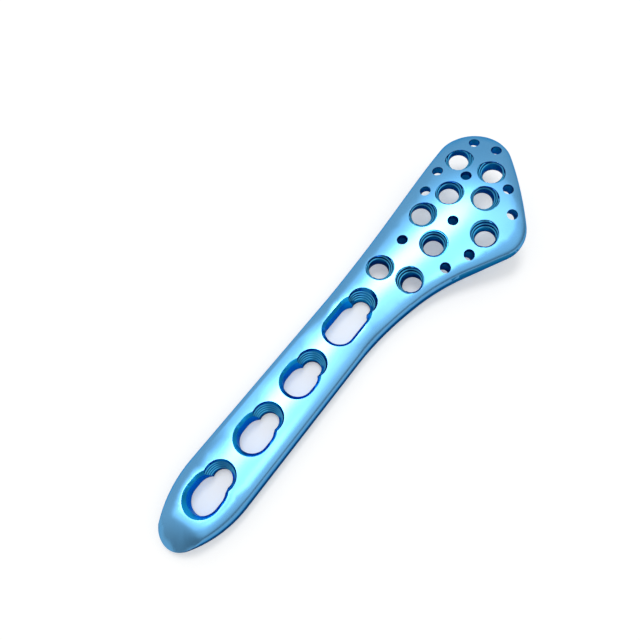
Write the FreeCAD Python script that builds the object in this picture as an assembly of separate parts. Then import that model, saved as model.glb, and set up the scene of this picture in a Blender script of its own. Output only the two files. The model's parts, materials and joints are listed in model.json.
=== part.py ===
import FreeCAD, Part
import math
import os

# Bone plate for the upper end of the upper arm bone, one solid of anodised titanium.
# Millimetres. While it is drawn, x runs from the tail end of the shaft to the tip of the head,
# y is to the left of the shaft's middle line seen from outside, and z is up, away from the bone,
# with zero on the outer crown line of the shaft.

# Shaft, and the place along it where the head starts to rise
plate_length = 97.05
head_length = 47.85
head_start = plate_length - head_length
shaft_width = 12.0
shaft_thickness = 4.2
shaft_crown_radius = 28.0
shaft_hollow_radius = 50.0

# Tail end of the shaft
tail_tip_radius = 3.4
tail_taper_length = 12.0
tail_bevel_length = 4.6
tail_bevel_angle = 33.0
tail_bevel_turn = 7.0

# Outline of the head: a slight flare on the left, a neck that opens in two bends on the right
left_flare_start = head_start + 0.8
left_flare_angle = 1.3
left_flare_radius = 200.0
head_tip_radius = 7.35
tip_flank_angle = 41.3
head_corner_radius = 5.5
neck_start = head_start + 1.2
neck_angle = 14.0
neck_radius = 58.0
flank_start = head_start + 14.7
flank_angle = 31.4
flank_radius = 38.0

# Rise of the head, away from the bone, and the crown across it
neck_bend_radius = 82.0
neck_bend_angle = 14.15
head_bend_start = head_start + 28.8
head_bend_radius = 46.7
head_thickness = 3.4
head_crown_radius = 40.0
head_hollow_radius = 120.0
head_ridge_offset = -7.3
blend_start = head_start - 0.7
blend_end = head_start + 37.3

# Edges of the plate: the outer one rounded in three flats, the one toward the bone in one
outer_edge_chamfer = 0.96
outer_edge_break = 0.34
inner_edge_chamfer = 0.35

# Combination holes: a threaded round toward the head and a plain slot toward the tail
combination_count = 4
combination_pitch = 12.0
last_combination_x = 13.0
long_combination_step = 15.3
slot_rim_radius = 3.3
slot_wall_radius = 2.7
slot_near_offset = 2.7
slot_far_offset = 3.9
long_slot_far_offset = 7.1
round_rim_radius = 2.82
combination_cone_depth = 3.2
combination_core_radius = 1.75
slot_rim_drop = 0.15

# Locking holes of the head: the cone that carries the thread, and the plain core under it
head_rim_radius = 2.8
locking_cone_depth = 1.7
core_radius = 1.95

# Wire holes
wire_hole_radius = 1.06

# Locking holes of the head: name, distance past the head's start, y, and the lean of the lower end
# toward the tip and to the left, in degrees
locking_holes = [
    ("locking_a1", 38.5, 2.0, 26.0, 4.0),
    ("locking_a2", 38.7, -5.0, 27.0, -6.0),
    ("locking_b1", 30.5, -0.7, 21.0, 1.0),
    ("locking_b2", 32.8, -7.0, 24.0, 7.0),
    ("locking_c1", 24.2, 1.1, 21.0, 9.0),
    ("locking_c2", 26.8, -11.0, 17.0, -8.0),
    ("locking_d1", 20.1, -4.2, 14.0, -2.0),
    ("locking_e1", 10.7, 1.5, 12.0, 5.0),
    ("locking_e2", 11.8, -4.7, 16.0, -8.0),
]

# Wire holes of the head, in the same form
wire_holes = [
    ("wire_a", 43.9, 1.7, 24.0, 0.0),
    ("wire_b", 44.1, -3.0, 24.0, 0.0),
    ("wire_c", 33.9, 4.0, 14.0, -6.0),
    ("wire_d", 35.2, -1.4, 6.0, -4.0),
    ("wire_e", 28.8, 3.5, 22.0, -4.0),
    ("wire_f", 36.8, -9.6, 18.0, 4.0),
    ("wire_g", 32.8, -13.0, 22.0, 8.0),
    ("wire_h", 25.7, -4.6, 6.0, 0.0),
    ("wire_i", 17.7, 1.2, 4.0, 0.0),
    ("wire_j", 22.0, -10.8, 5.0, 0.0),
    ("wire_k", 17.5, -8.6, 8.0, 0.0),
]

# Grid on which the two skins are drawn, and how far cutting bodies pass the plate
skin_stations = 14
skin_rows = 5
overrun = 6.0
high = 30.0
steep = 0.6
box_tolerance = 0.01


def vector(x, y, z=0.0):
    return FreeCAD.Vector(x, y, z)


def blend(x):
    """Smooth step from the shaft's section, 0, to the head's section, 1."""
    t = min(max((x - blend_start) / (blend_end - blend_start), 0.0), 1.0)
    return t * t * (3.0 - 2.0 * t)


def mix(shaft_value, head_value, x):
    return shaft_value + (head_value - shaft_value) * blend(x)


def crown_height(x):
    """Height of the crown line: level, a bend up, a straight rise and a bend back down."""
    angle = math.radians(neck_bend_angle)
    bend_end = head_start + neck_bend_radius * math.sin(angle)
    bend_rise = neck_bend_radius * (1.0 - math.cos(angle))
    if x <= head_start:
        return 0.0
    if x <= bend_end:
        return neck_bend_radius - math.sqrt(neck_bend_radius**2 - (x - head_start)**2)
    if x <= head_bend_start:
        return bend_rise + (x - bend_end) * math.tan(angle)
    start_rise = bend_rise + (head_bend_start - bend_end) * math.tan(angle)
    centre_x = head_bend_start + head_bend_radius * math.sin(angle)
    centre_z = start_rise - head_bend_radius * math.cos(angle)
    return centre_z + math.sqrt(head_bend_radius**2 - (x - centre_x)**2)


def ridge(x):
    return mix(0.0, head_ridge_offset, x)


def outer_height(x, y):
    """Outer skin: the crown line with a round fall to both sides."""
    curvature = mix(1.0 / shaft_crown_radius, 1.0 / head_crown_radius, x)
    return crown_height(x) - curvature * (y - ridge(x))**2 / 2.0


def inner_height(x, y):
    """Skin toward the bone: hollow across, and nearer the outer skin in the head."""
    curvature = mix(1.0 / shaft_hollow_radius, 1.0 / head_hollow_radius, x)
    thickness = mix(shaft_thickness, head_thickness, x)
    return crown_height(x) - thickness - curvature * (y - ridge(x))**2 / 2.0


def rounded_path(corners):
    """Edges through corners given as (x, y, radius), with an arc at each inner corner."""
    points = [vector(x, y) for x, y, radius in corners]
    edges = []
    start = points[0]
    for before, corner, after, (x, y, radius) in zip(points, points[1:], points[2:], corners[1:-1]):
        back = (before - corner).normalize()
        ahead = (after - corner).normalize()
        half = back.getAngle(ahead) / 2.0
        reach = radius / math.tan(half)
        first = corner + back * reach
        last = corner + ahead * reach
        middle_way = (back + ahead).normalize()
        middle = corner + middle_way * (radius / math.sin(half) - radius)
        edges.append(Part.LineSegment(start, first).toShape())
        edges.append(Part.Arc(first, middle, last).toShape())
        start = last
    edges.append(Part.LineSegment(start, points[-1]).toShape())
    return edges


def line_crossing(first, first_angle, second, second_angle):
    """Point where two lines in the plan meet, each given by a point and an angle in radians."""
    a = vector(math.cos(first_angle), math.sin(first_angle))
    b = vector(math.cos(second_angle), math.sin(second_angle))
    gap = second - first
    along = (gap.x * b.y - gap.y * b.x) / (a.x * b.y - a.y * b.x)
    return first + a * along


def tail_edges():
    """Tip arc of the tail and the two flank arcs that widen it to the shaft."""
    half_width = shaft_width / 2.0
    run = tail_taper_length - tail_tip_radius
    flank_radius = (run**2 + half_width**2 - tail_tip_radius**2) / (2.0 * (half_width - tail_tip_radius))
    tip_centre = vector(tail_tip_radius, 0)
    edges = []
    joints = []
    for side in (-1, 1):
        flank_centre = vector(tail_taper_length, side * (half_width - flank_radius))
        way = (tip_centre - flank_centre).normalize()
        joint = tip_centre + way * tail_tip_radius
        shoulder = vector(tail_taper_length, side * half_width)
        middle_way = ((joint - flank_centre) + (shoulder - flank_centre)).normalize()
        middle = flank_centre + middle_way * flank_radius
        edges.append(Part.Arc(joint, middle, shoulder).toShape())
        joints.append(joint)
    edges.append(Part.Arc(joints[0], vector(0, 0), joints[1]).toShape())
    return edges


def outline():
    """Plan of the plate: tail, straight shaft, one-sided flare of the neck and the round head."""
    half_width = shaft_width / 2.0
    left_angle = math.radians(left_flare_angle)
    tip_angle = math.radians(tip_flank_angle)
    flare_corner = vector(left_flare_start, half_width)
    tip_x = plate_length - head_tip_radius
    side_drop = head_tip_radius / math.cos(left_angle)
    tip_y = half_width + (tip_x - left_flare_start) * math.tan(left_angle) - side_drop
    tip_centre = vector(tip_x, tip_y)
    tip_out = vector(math.sin(tip_angle), -math.cos(tip_angle))
    tip_point = tip_centre + tip_out * head_tip_radius
    left_point = tip_centre + vector(-math.sin(left_angle), math.cos(left_angle)) * head_tip_radius
    flank_y = -half_width - (flank_start - neck_start) * math.tan(math.radians(neck_angle))
    flank_corner = vector(flank_start, flank_y)
    head_corner = line_crossing(flank_corner, math.radians(-flank_angle), tip_point, tip_angle)
    right_side = rounded_path([
        (tail_taper_length, -half_width, 0.0),
        (neck_start, -half_width, neck_radius),
        (flank_corner.x, flank_corner.y, flank_radius),
        (head_corner.x, head_corner.y, head_corner_radius),
        (tip_point.x, tip_point.y, 0.0),
    ])
    left_side = rounded_path([
        (left_point.x, left_point.y, 0.0),
        (flare_corner.x, flare_corner.y, left_flare_radius),
        (tail_taper_length, half_width, 0.0),
    ])
    tip_arc = Part.Arc(tip_point, tip_centre + vector(head_tip_radius, 0), left_point).toShape()
    edges = tail_edges() + right_side + [tip_arc] + left_side
    return Part.Wire(Part.__sortEdges__(edges))


def skin(height, plan_box):
    """Smooth face through points of a height formula, a little larger than the plan."""
    x_low = plan_box.XMin - overrun
    x_step = (plan_box.XLength + 2.0 * overrun) / (skin_stations - 1)
    y_low = plan_box.YMin - overrun
    y_step = (plan_box.YLength + 2.0 * overrun) / (skin_rows - 1)
    grid = []
    for station in range(skin_stations):
        x = x_low + station * x_step
        rows = [y_low + row * y_step for row in range(skin_rows)]
        grid.append([vector(x, y, height(x, y)) for y in rows])
    surface = Part.BSplineSurface()
    surface.interpolate(grid)
    return surface.toShape()


def rim_edges(shape, plan_wire, low, high, outer):
    """Edges that run round the plate at an inset from its outline, in the outer or the inner half."""
    found = []
    for edge in shape.Edges:
        half_way = (edge.FirstParameter + edge.LastParameter) / 2.0
        middle = edge.valueAt(half_way)
        runs_up = abs(edge.tangentAt(half_way).z) > steep
        inset = Part.Vertex(vector(middle.x, middle.y)).distToShape(plan_wire)[0]
        outer_z = outer_height(middle.x, middle.y)
        inner_z = inner_height(middle.x, middle.y)
        is_outer = middle.z > (outer_z + inner_z) / 2.0
        if not runs_up and low <= inset <= high and is_outer == outer:
            found.append(edge)
    return found


def blank():
    """The plate before its holes: plan, two skins and the rounded edges."""
    plan = outline()
    prism = Part.Face(plan).extrude(vector(0, 0, 2.0 * high))
    prism.translate(vector(0, 0, -high))
    above = skin(outer_height, plan.BoundBox).extrude(vector(0, 0, 2.0 * high))
    below = skin(inner_height, plan.BoundBox).extrude(vector(0, 0, -2.0 * high))
    body = prism.cut(above).cut(below)
    on_wall = (0.0, 0.02 * outer_edge_chamfer)
    on_skin = (0.5 * outer_edge_chamfer, 1.5 * outer_edge_chamfer)
    body = body.makeChamfer(outer_edge_chamfer, rim_edges(body, plan, *on_wall, True))
    body = body.makeChamfer(inner_edge_chamfer, rim_edges(body, plan, *on_wall, False))
    body = body.makeChamfer(outer_edge_break, rim_edges(body, plan, *on_skin, True))
    body = body.makeChamfer(outer_edge_break, rim_edges(body, plan, *on_wall, True))
    return body.Solids[0]


def tail_bevel():
    """Block whose lower face is the flat bevel ground on the outer side of the tail."""
    block = Part.makeBox(high, 2.0 * high, high, vector(-high, -high, 0))
    block.rotate(vector(0, 0, 0), vector(0, 1, 0), -tail_bevel_angle)
    block.rotate(vector(0, 0, 0), vector(0, 0, 1), tail_bevel_turn)
    block.translate(vector(tail_bevel_length, 0, 0))
    return block


def revolved(profile):
    """Solid of revolution about z from corners (radius, z) that start and end on the axis."""
    points = [vector(radius, 0, z) for radius, z in profile]
    wire = Part.makePolygon(points + points[:1])
    return Part.Face(wire).revolve(vector(0, 0, 0), vector(0, 0, 1), 360.0)


def threaded_round(rim_radius, cone_depth, core):
    """Cutter of a threaded round: a cone that carries the thread, down to a plain core."""
    return revolved([
        (0.0, high),
        (rim_radius, high),
        (rim_radius, 0.0),
        (core, -cone_depth),
        (core, -high),
        (0.0, -high),
    ])


def plain_round(radius):
    return Part.makeCylinder(radius, 2.0 * high, vector(0, 0, -high))


def lean_axis(lean_to_tip, lean_to_left):
    """Upward direction of a hole whose lower end leans toward the tip and to the left."""
    x = -math.tan(math.radians(lean_to_tip))
    y = -math.tan(math.radians(lean_to_left))
    return vector(x, y, 1.0).normalize()


def hole_place(hole):
    """Point on the outer skin where a head hole's drill axis meets it, and that axis."""
    name, past_start, y, lean_to_tip, lean_to_left = hole
    x = head_start + past_start
    return vector(x, y, outer_height(x, y)), lean_axis(lean_to_tip, lean_to_left)


def head_cutter(cutter, hole):
    """Cutter set on the outer skin at a head hole's place, along its own drill axis."""
    point, axis = hole_place(hole)
    placed = cutter.copy()
    placed.Placement = FreeCAD.Placement(point, FreeCAD.Rotation(vector(0, 0, 1), axis))
    return placed


def obround(radius, near_offset, far_offset, z):
    """Closed plan of a slot with round ends, toward the tail of its threaded round."""
    near_top = vector(-near_offset, radius, z)
    far_top = vector(-far_offset, radius, z)
    far_bottom = vector(-far_offset, -radius, z)
    near_bottom = vector(-near_offset, -radius, z)
    far_end = Part.Arc(far_top, vector(-far_offset - radius, 0, z), far_bottom)
    near_end = Part.Arc(near_bottom, vector(-near_offset + radius, 0, z), near_top)
    return Part.Wire([
        Part.LineSegment(near_top, far_top).toShape(),
        far_end.toShape(),
        Part.LineSegment(far_bottom, near_bottom).toShape(),
        near_end.toShape(),
    ])


def slot_cutter(far_offset):
    """Cutter of a plain slot: an upright wall with a bevel at the outer face."""
    bevel_depth = slot_rim_radius - slot_wall_radius
    wall = Part.Face(obround(slot_wall_radius, slot_near_offset, far_offset, -high))
    wall = wall.extrude(vector(0, 0, 2.0 * high))
    lower = obround(slot_wall_radius, slot_near_offset, far_offset, -slot_rim_drop - bevel_depth)
    upper = obround(slot_rim_radius + 1.0, slot_near_offset, far_offset, 1.0 - slot_rim_drop)
    return wall.fuse(Part.makeLoft([lower, upper], True, True))


def combination_cutters():
    """Cutters of the shaft's combination holes, the one nearest the head with the long slot."""
    cutters = []
    for number in range(combination_count):
        is_long = number == combination_count - 1
        x = last_combination_x + number * combination_pitch
        if is_long:
            x += long_combination_step - combination_pitch
        far_offset = long_slot_far_offset if is_long else slot_far_offset
        threaded = threaded_round(round_rim_radius, combination_cone_depth, combination_core_radius)
        hole = threaded.fuse(slot_cutter(far_offset))
        hole.translate(vector(x, 0, 0))
        cutters.append(hole)
    return cutters


def head_cutters():
    locking = threaded_round(head_rim_radius, locking_cone_depth, core_radius)
    wire = plain_round(wire_hole_radius)
    cutters = [head_cutter(locking, hole) for hole in locking_holes]
    cutters += [head_cutter(wire, hole) for hole in wire_holes]
    return cutters


def bone_plate():
    plate = blank().cut(tail_bevel())
    plate = plate.cut(combination_cutters() + head_cutters())
    return plate.Solids[0]


def origin_of(shape):
    """Point under the middle of the shape's box, at its lowest height."""
    points = shape.tessellate(box_tolerance)[0]
    x_values = [point.x for point in points]
    y_values = [point.y for point in points]
    x_middle = (min(x_values) + max(x_values)) / 2.0
    y_middle = (min(y_values) + max(y_values)) / 2.0
    return vector(x_middle, y_middle, min(point.z for point in points))


if __name__ == "__main__":
    os.makedirs("parts", exist_ok=True)
    plate = bone_plate()
    plate.translate(-origin_of(plate.copy()))
    plate.exportStep("parts/bone_plate.step")
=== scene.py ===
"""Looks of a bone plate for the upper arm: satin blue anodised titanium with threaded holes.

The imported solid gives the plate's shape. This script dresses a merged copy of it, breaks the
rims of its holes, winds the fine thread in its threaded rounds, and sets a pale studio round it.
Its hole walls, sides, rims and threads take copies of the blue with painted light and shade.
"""

from __future__ import annotations

import json
import logging
import math
from dataclasses import dataclass, field
from enum import Enum

import bmesh
import bpy
import numpy as np
from mathutils import Matrix, Quaternion, Vector, kdtree

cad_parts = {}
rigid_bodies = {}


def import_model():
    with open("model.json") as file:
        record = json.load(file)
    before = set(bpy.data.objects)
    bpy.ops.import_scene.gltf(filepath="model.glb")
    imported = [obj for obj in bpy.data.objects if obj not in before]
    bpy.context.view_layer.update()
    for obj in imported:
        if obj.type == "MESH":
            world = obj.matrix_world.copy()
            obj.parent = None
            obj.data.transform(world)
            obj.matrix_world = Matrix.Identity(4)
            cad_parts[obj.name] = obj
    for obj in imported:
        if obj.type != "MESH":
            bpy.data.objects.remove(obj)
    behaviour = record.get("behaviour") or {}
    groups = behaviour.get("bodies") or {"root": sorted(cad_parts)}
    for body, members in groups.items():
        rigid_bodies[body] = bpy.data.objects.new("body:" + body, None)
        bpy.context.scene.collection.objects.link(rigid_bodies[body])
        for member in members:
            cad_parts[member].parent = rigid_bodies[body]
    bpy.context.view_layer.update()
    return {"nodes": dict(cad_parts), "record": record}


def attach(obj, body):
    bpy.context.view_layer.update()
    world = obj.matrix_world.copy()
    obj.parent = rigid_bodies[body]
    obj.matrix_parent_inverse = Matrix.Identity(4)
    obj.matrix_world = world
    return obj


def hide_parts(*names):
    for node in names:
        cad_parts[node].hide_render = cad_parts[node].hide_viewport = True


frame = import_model()

MM = 0.001
NODE_NAME = "bone_plate"
BODY_NAME = "root"

log = logging.getLogger("bone_plate")


class Surface(Enum):
    """Which colour a face of the plate has: the skins keep the anodised blue, the walls, sides and rims
    take painted light and shade.
    """

    SKIN = 0
    ROUND = 1
    SLOT = 2
    SIDE = 3
    RIM = 4


class Opening(Enum):
    """What sort of hole goes through the plate."""

    LOCKING = "threaded_hole"
    WIRE = "bore"
    COMBINATION = "other"


class Reading:
    """A number that changes over a surface: an output socket that Python's arithmetic works on."""

    def __init__(self, board: "NodeBoard", socket: bpy.types.NodeSocket) -> None:
        """Wrap an output socket of a node on a board."""
        self.board = board
        self.socket = socket

    def _join(self, operation: str, first: object, second: object) -> "Reading":
        """Add a Math node.

        Args:
            operation: The Math node's operation.
            first: A reading or a number.
            second: A reading or a number.

        Returns:
            The node's result.
        """
        node = self.board.node("ShaderNodeMath", {"operation": operation}, {0: first, 1: second})
        return Reading(self.board, node.outputs[0])

    def __add__(self, other: object) -> "Reading":
        """Sum."""
        return self._join("ADD", self, other)

    def __radd__(self, other: object) -> "Reading":
        """Sum, reflected."""
        return self._join("ADD", other, self)

    def __sub__(self, other: object) -> "Reading":
        """Difference."""
        return self._join("SUBTRACT", self, other)

    def __rsub__(self, other: object) -> "Reading":
        """Difference, reflected."""
        return self._join("SUBTRACT", other, self)

    def __mul__(self, other: object) -> "Reading":
        """Product."""
        return self._join("MULTIPLY", self, other)

    def __rmul__(self, other: object) -> "Reading":
        """Product, reflected."""
        return self._join("MULTIPLY", other, self)

    def ramp(self, low: float, high: float) -> "Reading":
        """A smooth step.

        Args:
            low: Value at which the step starts, at 0.
            high: Value at which the step ends, at 1.

        Returns:
            The step as a reading from 0 to 1.
        """
        settings = {"interpolation_type": "SMOOTHSTEP"}
        inputs = {"Value": self, "From Min": low, "From Max": high}
        node = self.board.node("ShaderNodeMapRange", settings, inputs)
        return Reading(self.board, node.outputs[0])


class NodeBoard:
    """The node tree of one material or of the world."""

    def __init__(self, owner: bpy.types.ID) -> None:
        """Take an owner's node tree and empty it.

        Args:
            owner: The material or the world.
        """
        owner.use_nodes = True
        self.tree = owner.node_tree
        self.tree.nodes.clear()

    def node(self, kind: str, settings: dict | None = None, inputs: dict | None = None) -> bpy.types.Node:
        """Add a node.

        Args:
            kind: The node's type.
            settings: Properties set before any socket.
            inputs: Socket name or number to a value, a socket or a reading.

        Returns:
            The new node.
        """
        made = self.tree.nodes.new(kind)
        for name, value in (settings or {}).items():
            setattr(made, name, value)
        for name, value in (inputs or {}).items():
            source = value.socket if isinstance(value, Reading) else value
            if isinstance(source, bpy.types.NodeSocket):
                self.tree.links.new(source, made.inputs[name])
            else:
                made.inputs[name].default_value = source
        return made

    def noise(self, scale: float, detail: float = 2.0) -> Reading:
        """Noise over the piece's own coordinates.

        Args:
            scale: Waves per metre.
            detail: Octaves.

        Returns:
            The noise, about 0.5 in the middle.
        """
        place = self.node("ShaderNodeTexCoord").outputs["Object"]
        inputs = {"Vector": place, "Scale": scale, "Detail": detail}
        return Reading(self, self.node("ShaderNodeTexNoise", None, inputs).outputs[0])

    def along(self, direction: Vector, place: bpy.types.NodeSocket) -> Reading:
        """How far a place lies along a direction.

        Args:
            direction: The direction.
            place: Socket that gives the place.

        Returns:
            The distance.
        """
        inputs = {0: place, 1: direction.normalized()[:]}
        node = self.node("ShaderNodeVectorMath", {"operation": "DOT_PRODUCT"}, inputs)
        return Reading(self, node.outputs["Value"])

    def colour_mix(self, share: Reading, first: object, second: object) -> bpy.types.NodeSocket:
        """Blend two colours.

        Args:
            share: Share of the second colour.
            first: A colour or a socket.
            second: A colour or a socket.

        Returns:
            The blended colour's socket.
        """
        node = self.node("ShaderNodeMix", {"data_type": "RGBA"}, {0: share, 6: first, 7: second})
        return node.outputs[2]


@dataclass(frozen=True)
class AnodisedFinishAndPaintedLight:
    """Anodised titanium, from satin to polished; all but the satin skin's colour are copies with painted
    light and shade.

    The grain's size and height are in millimetres, and the clouds' waves are counted per metre.
    """

    name: str
    colour: tuple
    shade: tuple
    grazing: tuple
    roughness: float
    roughness_play: float
    grain_size: float
    grain_height: float
    cloud_waves: float = 60.0
    cloud_detail: float = 3.0
    cloud_low: float = 0.3
    cloud_high: float = 0.7

    def material(self) -> bpy.types.Material:
        """Build the material.

        Returns:
            The material, with all its nodes.
        """
        made = bpy.data.materials.new(self.name)
        board = NodeBoard(made)
        cloud = board.noise(self.cloud_waves, self.cloud_detail)
        fine = board.noise(1.0 / (self.grain_size * MM))
        share = cloud.ramp(self.cloud_low, self.cloud_high)
        colour = board.colour_mix(share, self.colour, self.shade)
        rough = self.roughness + (fine - 0.5) * self.roughness_play
        rough = rough + (cloud - 0.5) * self.roughness_play
        bump_inputs = {"Strength": 1.0, "Distance": self.grain_height * MM, "Height": fine}
        bump = board.node("ShaderNodeBump", None, bump_inputs)
        shader = board.node(
            "ShaderNodeBsdfPrincipled",
            None,
            {
                "Base Color": colour,
                "Metallic": 1.0,
                "Roughness": rough,
                "Specular Tint": self.grazing,
                "Normal": bump.outputs[0],
            },
        )
        board.node("ShaderNodeOutputMaterial", None, {"Surface": shader.outputs[0]})
        return made


SATIN = AnodisedFinishAndPaintedLight(
    name="satin_blue_anodised",
    colour=(0.18, 0.5, 0.85, 1.0),
    shade=(0.15, 0.46, 0.82, 1.0),
    grazing=(0.2, 0.5, 0.85, 1.0),
    roughness=0.23,
    roughness_play=0.06,
    grain_size=0.12,
    grain_height=0.0015,
)
# Hole walls: a darker copy of the anodised blue, painted shade inside the holes.
ROUND_WALL_PAINTED_SHADE = AnodisedFinishAndPaintedLight(
    name="round_wall_painted_shade",
    colour=(0.02, 0.24, 0.5, 1.0),
    shade=(0.01, 0.19, 0.45, 1.0),
    grazing=(0.03, 0.25, 0.5, 1.0),
    roughness=0.15,
    roughness_play=0.04,
    grain_size=0.2,
    grain_height=0.001,
)
# Thread ridges: a lighter copy of the anodised blue, painted light on the crests against the shaded hole
# walls.
THREAD_PAINTED_LIGHT = AnodisedFinishAndPaintedLight(
    name="thread_painted_light",
    colour=(0.08, 0.48, 0.82, 1.0),
    shade=(0.06, 0.42, 0.78, 1.0),
    grazing=(0.1, 0.48, 0.82, 1.0),
    roughness=0.13,
    roughness_play=0.04,
    grain_size=0.2,
    grain_height=0.001,
)
# Slot walls: a more saturated copy of the anodised blue, painted light for how the slot walls catch it.
SLOT_PAINTED_LIGHT = AnodisedFinishAndPaintedLight(
    name="slot_wall_painted_light",
    colour=(0.01, 0.42, 0.92, 1.0),
    shade=(0.01, 0.38, 0.9, 1.0),
    grazing=(0.02, 0.4, 0.9, 1.0),
    roughness=0.2,
    roughness_play=0.04,
    grain_size=0.2,
    grain_height=0.001,
)
# Plate sides: a darker copy of the anodised blue, painted shade along the side walls.
SIDE_PAINTED_SHADE = AnodisedFinishAndPaintedLight(
    name="side_wall_painted_shade",
    colour=(0.04, 0.26, 0.5, 1.0),
    shade=(0.03, 0.22, 0.46, 1.0),
    grazing=(0.05, 0.26, 0.5, 1.0),
    roughness=0.28,
    roughness_play=0.05,
    grain_size=0.12,
    grain_height=0.0015,
)
# Hole rims: a near-white copy of the metal, a painted highlight along the broken rims.
RIM_PAINTED_HIGHLIGHT = AnodisedFinishAndPaintedLight(
    name="rim_painted_highlight",
    colour=(0.72, 0.88, 0.95, 1.0),
    shade=(0.62, 0.84, 0.94, 1.0),
    grazing=(0.8, 0.92, 0.98, 1.0),
    roughness=0.25,
    roughness_play=0.05,
    grain_size=0.2,
    grain_height=0.001,
)


@dataclass(frozen=True)
class Hole:
    """One hole through the plate, with its place on the outer face and its drill axis.

    A face that looks along the axis, by a cosine over face_limit, is no wall of the hole.
    """

    name: str
    opening: Opening
    rim: Vector
    axis: Vector
    rim_radius: float
    cone_depth: float
    core_radius: float
    slot_reach: float = 0.0
    slot_near: float = 2.7 * MM
    slot_radius: float = 2.7 * MM
    slot_bevel: float = 0.75 * MM
    wall_slack: float = 0.05 * MM
    face_limit: float = 0.8

    def wall_radius(self, height: float) -> float:
        """Radius of the round's wall.

        Args:
            height: Height over the rim point, below zero inside the hole.

        Returns:
            The radius in metres, which shrinks down the cone to the plain core.
        """
        if self.opening is Opening.WIRE:
            return self.core_radius
        share = min(max(-height / self.cone_depth, 0.0), 1.0)
        return self.rim_radius + (self.core_radius - self.rim_radius) * share

    def half_arc(self, radius: float, height: float) -> float:
        """Half the angle that the round's wall covers, from its side toward the head.

        Args:
            radius: Distance from the round's axis.
            height: Height over the rim point, below zero inside the hole.

        Returns:
            The angle in radians: half a turn unless a slot opens the round.
        """
        if self.slot_reach == 0.0:
            return math.pi
        slot = self.slot_radius + max(0.0, height + self.slot_bevel)
        cosine = (slot ** 2 - self.slot_near ** 2 - radius ** 2) / (2.0 * self.slot_near * radius)
        return math.acos(min(max(cosine, -1.0), 1.0))

    def surface_at(self, place: Vector, normal: Vector) -> Surface | None:
        """Which wall of this hole a face of the plate is.

        Args:
            place: The face's middle.
            normal: The face's outward direction.

        Returns:
            The wall's surface, or None for a face that isn't in this hole.
        """
        away = place - self.rim
        height = away.dot(self.axis)
        radial = (away - self.axis * height).length
        if abs(normal.dot(self.axis)) > self.face_limit:
            return None
        if radial < self.wall_radius(height) + self.wall_slack:
            return Surface.ROUND
        return Surface.SLOT if self._in_slot(away) else None

    def _in_slot(self, away: Vector) -> bool:
        """Whether a place lies inside the plain slot's rim.

        Args:
            away: The place, from the rim's centre.

        Returns:
            True inside the slot, and always false for a plain round.
        """
        if self.slot_reach == 0.0:
            return False
        nearest = min(max(away.x, -self.slot_reach), -self.slot_near)
        return math.hypot(away.x - nearest, away.y) < self.slot_radius + self.slot_bevel


class HoleTable:
    """Reads the plate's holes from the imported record.

    The sizes are a round's rim radius, cone depth and core radius. The reaches are how far the
    middle of each slot's far arc lies from its round.
    """

    locking_sizes = (2.8 * MM, 1.7 * MM, 1.95 * MM)
    combination_sizes = (2.82 * MM, 3.2 * MM, 1.75 * MM)
    slot_reaches = (3.9 * MM, 3.9 * MM, 3.9 * MM, 7.1 * MM)

    def __init__(self, record: dict) -> None:
        """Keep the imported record."""
        self.record = record

    def read(self) -> list[Hole]:
        """List the holes.

        Returns:
            One entry for each locking, wire and combination hole.
        """
        holes = []
        reaches = iter(self.slot_reaches)
        for mount in self.record["mounts"]:
            opening = Opening(mount["kind"])
            name = mount["name"]
            point = Vector(mount["pos_m"])
            axis = Vector(mount["axis"]).normalized()
            if opening is Opening.WIRE:
                radius = mount["dims"]["r_mm"] * MM
                holes.append(Hole(name, opening, point, axis, radius, 0.0, radius))
            elif opening is Opening.LOCKING:
                depth = self.locking_sizes[1] + mount["dims"]["length_mm"] * MM / 2.0
                holes.append(Hole(name, opening, point + axis * depth, axis, *self.locking_sizes))
            elif name.startswith("combination"):
                sizes = self.combination_sizes
                holes.append(Hole(name, opening, point, axis, *sizes, next(reaches)))
        return holes


@dataclass
class SkinForm:
    """Smooth form of one skin, fitted to the places of its corners."""

    places: list[Vector]
    neighbours: int = 110
    reach: float = 3.0 * MM
    least_weight: float = 1e-4
    rank_limit: float = 1e-6
    degree: int = 3
    tree: kdtree.KDTree = field(init=False)

    def __post_init__(self) -> None:
        """Sort the places for quick search."""
        self.tree = kdtree.KDTree(len(self.places))
        for number, place in enumerate(self.places):
            self.tree.insert(place, number)
        self.tree.balance()

    def slope_normal(self, place: Vector) -> Vector:
        """Upward direction square to the skin, from a cubic fitted round a place.

        Args:
            place: A point on the skin.

        Returns:
            The unit direction.
        """
        near = np.array([found[0] - place for found in self.tree.find_n(place, self.neighbours)]) / MM
        x, y, z = near.T
        weight = np.exp(-(x * x + y * y) / (self.reach / MM) ** 2) + self.least_weight
        powers = range(self.degree + 1)
        terms = [x ** i * y ** j for i in powers for j in powers if i + j <= self.degree]
        columns = np.array(terms).T * weight[:, None]
        answer = np.linalg.lstsq(columns, z * weight, rcond=self.rank_limit)[0]
        rise_y = answer[1]
        rise_x = answer[self.degree + 1]
        return Vector((-rise_x, -rise_y, 1.0)).normalized()


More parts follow.
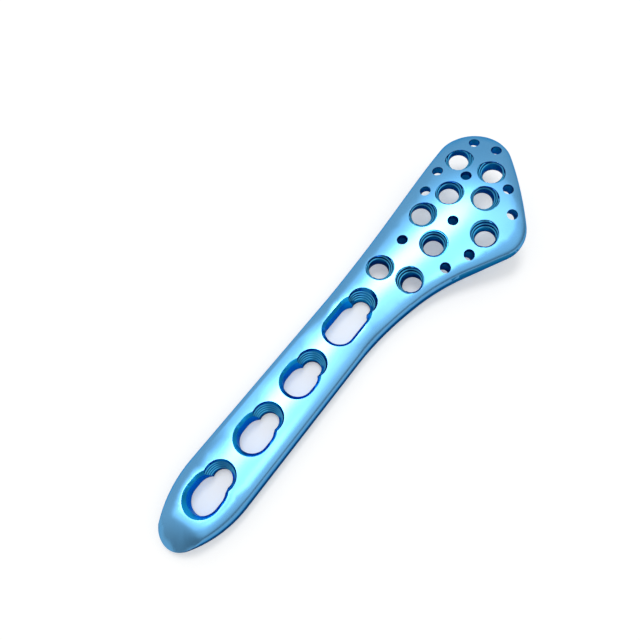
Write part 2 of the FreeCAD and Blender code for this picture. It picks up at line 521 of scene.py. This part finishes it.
@dataclass
class DressedPlate:
    """The plate's visible mesh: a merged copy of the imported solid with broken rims.

    The match and the limits are cosines of angles between directions.
    """

    holes: list[Hole]
    rim_break: float = 0.15 * MM
    merge_distance: float = 0.001 * MM
    flat_break: float = 0.35 * MM
    tail_flat: Vector = field(default_factory=lambda: Vector((-0.5406, -0.0664, 0.8387)))
    crease: float = math.radians(33.0)
    skin_turn: float = math.radians(12.0)
    flat_match: float = 0.9995
    raised_limit: float = 0.7
    facing_limit: float = 0.9
    side_limit: float = 0.3

    def build(self) -> bpy.types.Object:
        """Copy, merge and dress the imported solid.

        Returns:
            The visible plate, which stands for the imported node.
        """
        work = bmesh.new()
        work.from_mesh(frame["nodes"][NODE_NAME].data)
        bmesh.ops.remove_doubles(work, verts=work.verts, dist=self.merge_distance)
        skin_mark = work.faces.layers.int.new("skin")
        self._soften_tail(work)
        self._sort_faces(work)
        forms = {
            side: SkinForm(self._grow_skin(work, skin_mark, side))
            for side in (1, -1)
        }
        self._break_rims(work, skin_mark)
        for face in work.faces:
            face.smooth = True
        for edge in work.edges:
            edge.smooth = len(edge.link_faces) == 2 and edge.calc_face_angle() < self.crease
        mesh = bpy.data.meshes.new("plate_body")
        work.to_mesh(mesh)
        work.free()
        plate = bpy.data.objects.new("plate_body", mesh)
        bpy.context.scene.collection.objects.link(plate)
        # The skin's own anodised blue first, then the copies with painted shade, painted light and
        # painted highlight, in the order of Surface.
        for finish_and_painted_light in (SATIN, ROUND_WALL_PAINTED_SHADE, SLOT_PAINTED_LIGHT, SIDE_PAINTED_SHADE, RIM_PAINTED_HIGHLIGHT):
            mesh.materials.append(finish_and_painted_light.material())
        self._shade(plate, forms)
        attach(plate, BODY_NAME)
        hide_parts(NODE_NAME)
        log.info("plate_body: %d faces", len(mesh.polygons))
        return plate

    def _soften_tail(self, work: bmesh.types.BMesh) -> None:
        """Round the upper edge of the flat ground on the tail.

        Args:
            work: The plate's mesh.
        """
        work.normal_update()
        edges = []
        for edge in work.edges:
            on_flat = [self._is_tail_flat(face.normal) for face in edge.link_faces]
            raised = all(face.normal.z > self.raised_limit for face in edge.link_faces)
            if sum(on_flat) == 1 and raised:
                edges.append(edge)
        bmesh.ops.bevel(
            work,
            geom=edges,
            offset=self.flat_break,
            offset_type="OFFSET",
            segments=3,
            profile=0.5,
            affect="EDGES",
            material=-1,
            clamp_overlap=True,
        )
        log.info("tail flat: %d edges rounded", len(edges))

    def _is_tail_flat(self, normal: Vector) -> bool:
        """Whether a face that looks this way is in the flat on the tail."""
        return normal.dot(self.tail_flat) > self.flat_match

    def _sort_faces(self, work: bmesh.types.BMesh) -> None:
        """Give the holes' walls, the plate's sides and its skins their colours: the skins keep the
        anodised blue, the walls and sides take painted light and shade.

        Args:
            work: The plate's mesh.
        """
        work.normal_update()
        for face in work.faces:
            middle = face.calc_center_median()
            found = [hole.surface_at(middle, face.normal) for hole in self.holes]
            walls = [surface for surface in found if surface is not None]
            plain = Surface.SIDE if abs(face.normal.z) < self.side_limit else Surface.SKIN
            face.material_index = (walls[0] if walls else plain).value

    def _grow_skin(self, work: bmesh.types.BMesh, mark: object, side: int) -> list[Vector]:
        """Mark one skin, spreading from its largest face over all gentle edges.

        Args:
            work: The plate's mesh.
            mark: Face layer that takes the side.
            side: 1 for the outer skin, -1 for the one toward the bone.

        Returns:
            The places of the skin's corners.
        """
        skin = Surface.SKIN.value
        facing = [
            face for face in work.faces
            if face.normal.z * side > self.facing_limit and face.material_index == skin
        ]
        waiting = [max(facing, key=lambda face: face.calc_area())]
        waiting[0][mark] = side
        corners = {}
        while waiting:
            face = waiting.pop()
            corners.update((vert.index, vert.co.copy()) for vert in face.verts)
            for edge in face.edges:
                for other in edge.link_faces:
                    is_new = other[mark] == 0 and other.material_index == skin
                    if is_new and edge.calc_face_angle(math.pi) < self.skin_turn:
                        other[mark] = side
                        waiting.append(other)
        log.info("skin %d: %d corners", side, len(corners))
        return list(corners.values())

    def _break_rims(self, work: bmesh.types.BMesh, mark: object) -> None:
        """Round every rim where a hole's wall meets a skin.

        Args:
            work: The plate's mesh.
            mark: Face layer that is cleared on the new faces.
        """
        walls = (Surface.ROUND.value, Surface.SLOT.value)
        rims = [
            edge for edge in work.edges
            if sum(face.material_index in walls for face in edge.link_faces) == 1
        ]
        made = bmesh.ops.bevel(
            work,
            geom=rims,
            offset=self.rim_break,
            offset_type="OFFSET",
            segments=2,
            profile=0.5,
            affect="EDGES",
            material=-1,
            clamp_overlap=True,
        )
        for face in made["faces"]:
            face[mark] = 0
            # The upward faces of each rim bevel take the painted highlight colour.
            if face.normal.z > 0.0:
                face.material_index = Surface.RIM.value
        log.info("rims: %d edges broken", len(rims))

    def _shade(self, plate: bpy.types.Object, forms: dict[int, SkinForm]) -> None:
        """Set the shading directions: the fitted form on the skins, weighted ones elsewhere.

        Args:
            plate: The visible plate.
            forms: The form of each skin, by its side.
        """
        mesh = plate.data
        even = plate.modifiers.new("even_shading", "WEIGHTED_NORMAL")
        even.keep_sharp = True
        graph = bpy.context.evaluated_depsgraph_get()
        shaded = plate.evaluated_get(graph).to_mesh()
        normals = [corner.vector.copy() for corner in shaded.corner_normals]
        plate.evaluated_get(graph).to_mesh_clear()
        plate.modifiers.remove(even)
        marks = [entry.value for entry in mesh.attributes["skin"].data]
        on_skin = {}
        for polygon, side in zip(mesh.polygons, marks):
            for corner in polygon.vertices if side else ():
                if corner not in on_skin:
                    on_skin[corner] = forms[side].slope_normal(mesh.vertices[corner].co) * side
        limit = math.cos(self.crease)
        for polygon, side in zip(mesh.polygons, marks):
            if not side and self._is_tail_flat(polygon.normal):
                continue
            for loop, corner in zip(polygon.loop_indices, polygon.vertices):
                form = on_skin.get(corner)
                if form is not None and form.dot(polygon.normal) > limit:
                    normals[loop] = form
        mesh.normals_split_custom_set(normals)
        mesh.attributes.remove(mesh.attributes["skin"])


@dataclass
class Thread:
    """Fine thread in the cone of a threaded round.

    Half the ridge's width is a share of the pitch. The face's limit, a cosine, its reach and its
    depth choose the triangles round the hole that the cut follows.
    """

    hole: Hole
    material: bpy.types.Material
    pitch: float = 0.6 * MM
    height: float = 0.12 * MM
    sunk: float = 0.04 * MM
    half_share: float = 0.25
    below_face: float = 0.24 * MM
    steps_a_turn: int = 60
    crease: float = math.radians(30.0)
    cut_slack: float = 0.0001 * MM
    face_limit: float = 0.8
    face_reach: float = 5.0 * MM
    face_depth: float = 2.0 * MM

    def build(self) -> bpy.types.Object:
        """Wind the ridge along the wall and trim it below the outer face.

        Its first half turn rises from the cone's end. A locking hole's ridge runs past the
        leaning face before it is trimmed.

        Returns:
            The thread's object.
        """
        hole = self.hole
        work = bmesh.new()
        lowest = -hole.cone_depth + self.pitch / 2.0
        if hole.opening is Opening.LOCKING:
            overrun = hole.rim_radius
            turns = int((overrun - lowest) / self.pitch)
            self._ridge(work, 2.0 * turns - 1.0, lowest)
        else:
            for turn in range(int((-self.below_face - lowest) / self.pitch)):
                self._ridge(work, 1.0, lowest + turn * self.pitch)
        lean = Vector((0.0, 0.0, 1.0)).rotation_difference(hole.axis)
        self._place(work, lean)
        mesh = bpy.data.meshes.new("thread_" + hole.name)
        work.to_mesh(mesh)
        work.free()
        thread = bpy.data.objects.new("thread_" + hole.name, mesh)
        bpy.context.scene.collection.objects.link(thread)
        mesh.materials.append(self.material)
        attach(thread, BODY_NAME)
        log.info("%s: %d faces", thread.name, len(mesh.polygons))
        return thread

    def _ridge(self, work: bmesh.types.BMesh, last: float, start: float) -> None:
        """Sweep one ridge along the wall, closed at both ends.

        Args:
            work: Mesh that takes the ridge, upright round the z axis.
            last: Where it ends, in half turns of the wall's arc; it starts at -1.
            start: Height of its middle line at half turn 0.
        """
        half = self.half_share * self.pitch
        profile = [(self.sunk, -half), (-self.height, 0.0), (self.sunk, half)]
        count = math.ceil((last + 1.0) / 2.0 * self.steps_a_turn)
        rows = []
        for step in range(count + 1):
            share = -1.0 + (last + 1.0) * step / count
            middle = start + self.pitch * share / 2.0
            row = []
            for out, rise in profile:
                radius = self.hole.wall_radius(middle + rise) + out
                angle = share * self.hole.half_arc(radius, middle + rise)
                place = (radius * math.cos(angle), radius * math.sin(angle), middle + rise)
                row.append(work.verts.new(place))
            rows.append(row)
        for before, after in zip(rows, rows[1:]):
            for one in range(len(profile)):
                two = (one + 1) % len(profile)
                work.faces.new((before[one], before[two], after[two], after[one]))
        work.faces.new(rows[0])
        work.faces.new(rows[-1][::-1])

    def _place(self, work: bmesh.types.BMesh, lean: Quaternion) -> None:
        """Put the ridge in its hole and cut away what stands too near the plate's face.

        Args:
            work: The thread's mesh.
            lean: Turn from upright to the hole's axis.
        """
        matrix = Matrix.Translation(self.hole.rim) @ lean.to_matrix().to_4x4()
        bmesh.ops.transform(work, matrix=matrix, verts=work.verts)
        normal = self._face_normal()
        cut = bmesh.ops.bisect_plane(
            work,
            geom=work.verts[:] + work.edges[:] + work.faces[:],
            dist=self.cut_slack,
            plane_co=self.hole.rim - normal * self.below_face,
            plane_no=normal,
            clear_outer=True,
        )
        rim = [piece for piece in cut["geom_cut"] if isinstance(piece, bmesh.types.BMEdge)]
        bmesh.ops.holes_fill(work, edges=rim, sides=0)
        bmesh.ops.recalc_face_normals(work, faces=work.faces)
        for face in work.faces:
            face.smooth = True
        for edge in work.edges:
            edge.smooth = edge.calc_face_angle(math.pi) < self.crease

    def _face_normal(self) -> Vector:
        """Average the direction of the plate's face over its triangles round the hole.

        Returns:
            The face's outward unit direction.
        """
        total = Vector((0.0, 0.0, 0.0))
        for face in frame["nodes"][NODE_NAME].data.polygons:
            away = face.center - self.hole.rim
            is_near = away.length < self.face_reach and away.z > -self.face_depth
            if face.normal.z > self.face_limit and is_near:
                total += face.normal * face.area
        return total.normalized()


@dataclass(frozen=True)
class Lamp:
    """A softbox: which way it hangs, half its angles as seen from the plate, and its radiance."""

    name: str
    direction: Vector
    half_along: float
    half_across: float
    radiance: float
    distance: float = 440.0 * MM

    def hang(self) -> None:
        """Add the lamp, turned to the plate."""
        along = self.distance * math.tan(math.radians(self.half_along))
        across = self.distance * math.tan(math.radians(self.half_across))
        lamp = bpy.data.lights.new(self.name, "AREA")
        lamp.shape = "ELLIPSE"
        lamp.size = 2.0 * along
        lamp.size_y = 2.0 * across
        lamp.energy = self.radiance * math.pi ** 2 * along * across
        holder = bpy.data.objects.new(self.name, lamp)
        holder.location = self.direction.normalized() * self.distance
        holder.rotation_mode = "QUATERNION"
        upright = Vector((0.0, 0.0, 1.0))
        holder.rotation_quaternion = upright.rotation_difference(self.direction)
        bpy.context.scene.collection.objects.link(holder)


@dataclass(frozen=True)
class Glow:
    """A soft bright part of the room that metal mirrors.

    It fades in from low to high, which are cosines of the angle from its direction, and adds its
    level there.
    """

    direction: Vector
    low: float
    high: float
    level: float

    def shine(self, board: NodeBoard, way: bpy.types.NodeSocket) -> Reading:
        """How bright the glow is in a direction.

        Args:
            board: The world's nodes.
            way: Socket that gives the direction.

        Returns:
            The brightness.
        """
        return board.along(self.direction, way).ramp(self.low, self.high) * self.level


@dataclass
class Studio:
    """Pale floor, soft overhead light and the photograph's camera."""

    camera_place: Vector = field(default_factory=lambda: Vector((-33.79, -13.46, 87.26)) * MM)
    target: Vector = field(default_factory=lambda: Vector((-4.07, 9.31, 4.55)) * MM)
    focal_length: float = 28.14
    sensor_width: float = 36.0
    clip_start: float = 0.005
    clip_end: float = 20.0
    floor_size: float = 3.0
    floor_paint: tuple = (0.9, 0.9, 0.9, 1.0)
    floor_tint: tuple = (1.0, 0.99, 0.96, 1.0)
    floor_glow: float = 0.32
    mirrored_level: float = 0.28
    fill_level: float = 0.55
    backdrop_level: float = 1.0
    lamps: tuple = (
        Lamp("main_softbox", Vector((0.13, 0.25, 0.96)), 15.0, 9.0, 6.0),
        Lamp("small_softbox", Vector((-0.03, -0.27, 0.96)), 8.0, 9.0, 1.8),
    )
    glows: tuple = (
        Glow(Vector((0.35, 0.85, 0.4)), -0.6, 0.6, 0.38),
        Glow(Vector((0.1, 0.15, 0.98)), 0.8, 0.98, 1.0),
        Glow(Vector((0.0, -0.6, 0.8)), 0.7, 0.97, 0.6),
    )

    def build(self) -> None:
        """Set up everything that isn't the plate."""
        self._camera()
        self._floor()
        for lamp in self.lamps:
            lamp.hang()
        self._world()
        bpy.context.scene.view_settings.view_transform = "Standard"

    def _camera(self) -> None:
        """Place the camera as in the photograph."""
        lens = bpy.data.cameras.new("camera")
        lens.sensor_width = self.sensor_width
        lens.lens = self.focal_length
        lens.clip_start = self.clip_start
        lens.clip_end = self.clip_end
        camera = bpy.data.objects.new("camera", lens)
        camera.location = self.camera_place
        look = self.target - self.camera_place
        camera.rotation_mode = "QUATERNION"
        camera.rotation_quaternion = look.to_track_quat("-Z", "Y")
        bpy.context.scene.collection.objects.link(camera)
        bpy.context.scene.camera = camera

    def _floor(self) -> None:
        """Lay the pale floor under the plate, lifted to white for the camera."""
        work = bmesh.new()
        bmesh.ops.create_grid(work, x_segments=1, y_segments=1, size=self.floor_size / 2.0)
        mesh = bpy.data.meshes.new("floor")
        work.to_mesh(mesh)
        work.free()
        floor = bpy.data.objects.new("floor", mesh)
        bpy.context.scene.collection.objects.link(floor)
        made = bpy.data.materials.new("pale_floor")
        board = NodeBoard(made)
        path = board.node("ShaderNodeLightPath")
        paint = board.node("ShaderNodeBsdfDiffuse", None, {"Color": self.floor_paint})
        seen = Reading(board, path.outputs["Is Camera Ray"]) * self.floor_glow
        glow = board.node("ShaderNodeEmission", None, {"Color": self.floor_tint, "Strength": seen})
        both = board.node("ShaderNodeAddShader", None, {0: paint.outputs[0], 1: glow.outputs[0]})
        board.node("ShaderNodeOutputMaterial", None, {"Surface": both.outputs[0]})
        mesh.materials.append(made)

    def _world(self) -> None:
        """Light the room: white to the camera, with soft glows where metal mirrors it."""
        world = bpy.data.worlds.new("room")
        bpy.context.scene.world = world
        board = NodeBoard(world)
        path = board.node("ShaderNodeLightPath")
        way = board.node("ShaderNodeTexCoord").outputs["Generated"]
        mirrored = self.mirrored_level
        for glow in self.glows:
            mirrored = mirrored + glow.shine(board, way)
        is_camera = Reading(board, path.outputs["Is Camera Ray"])
        is_glossy = Reading(board, path.outputs["Is Glossy Ray"])
        matt = self.fill_level + is_camera * (self.backdrop_level - self.fill_level)
        strength = is_glossy * mirrored + (1.0 - is_glossy) * matt
        white = {"Color": (1.0, 1.0, 1.0, 1.0), "Strength": strength}
        back = board.node("ShaderNodeBackground", None, white)
        board.node("ShaderNodeOutputWorld", None, {"Surface": back.outputs[0]})


def main() -> None:
    """Build the dressed plate, its threads and the studio."""
    logging.basicConfig(level=logging.INFO, format="%(name)s %(message)s")
    holes = HoleTable(frame["record"]).read()
    DressedPlate(holes).build()
    # The ridges take the lighter copy of the blue: painted light.
    ridge_material = THREAD_PAINTED_LIGHT.material()
    for hole in holes:
        if hole.opening is not Opening.WIRE:
            Thread(hole, ridge_material).build()
    Studio().build()


if __name__ == "__main__":
    main()
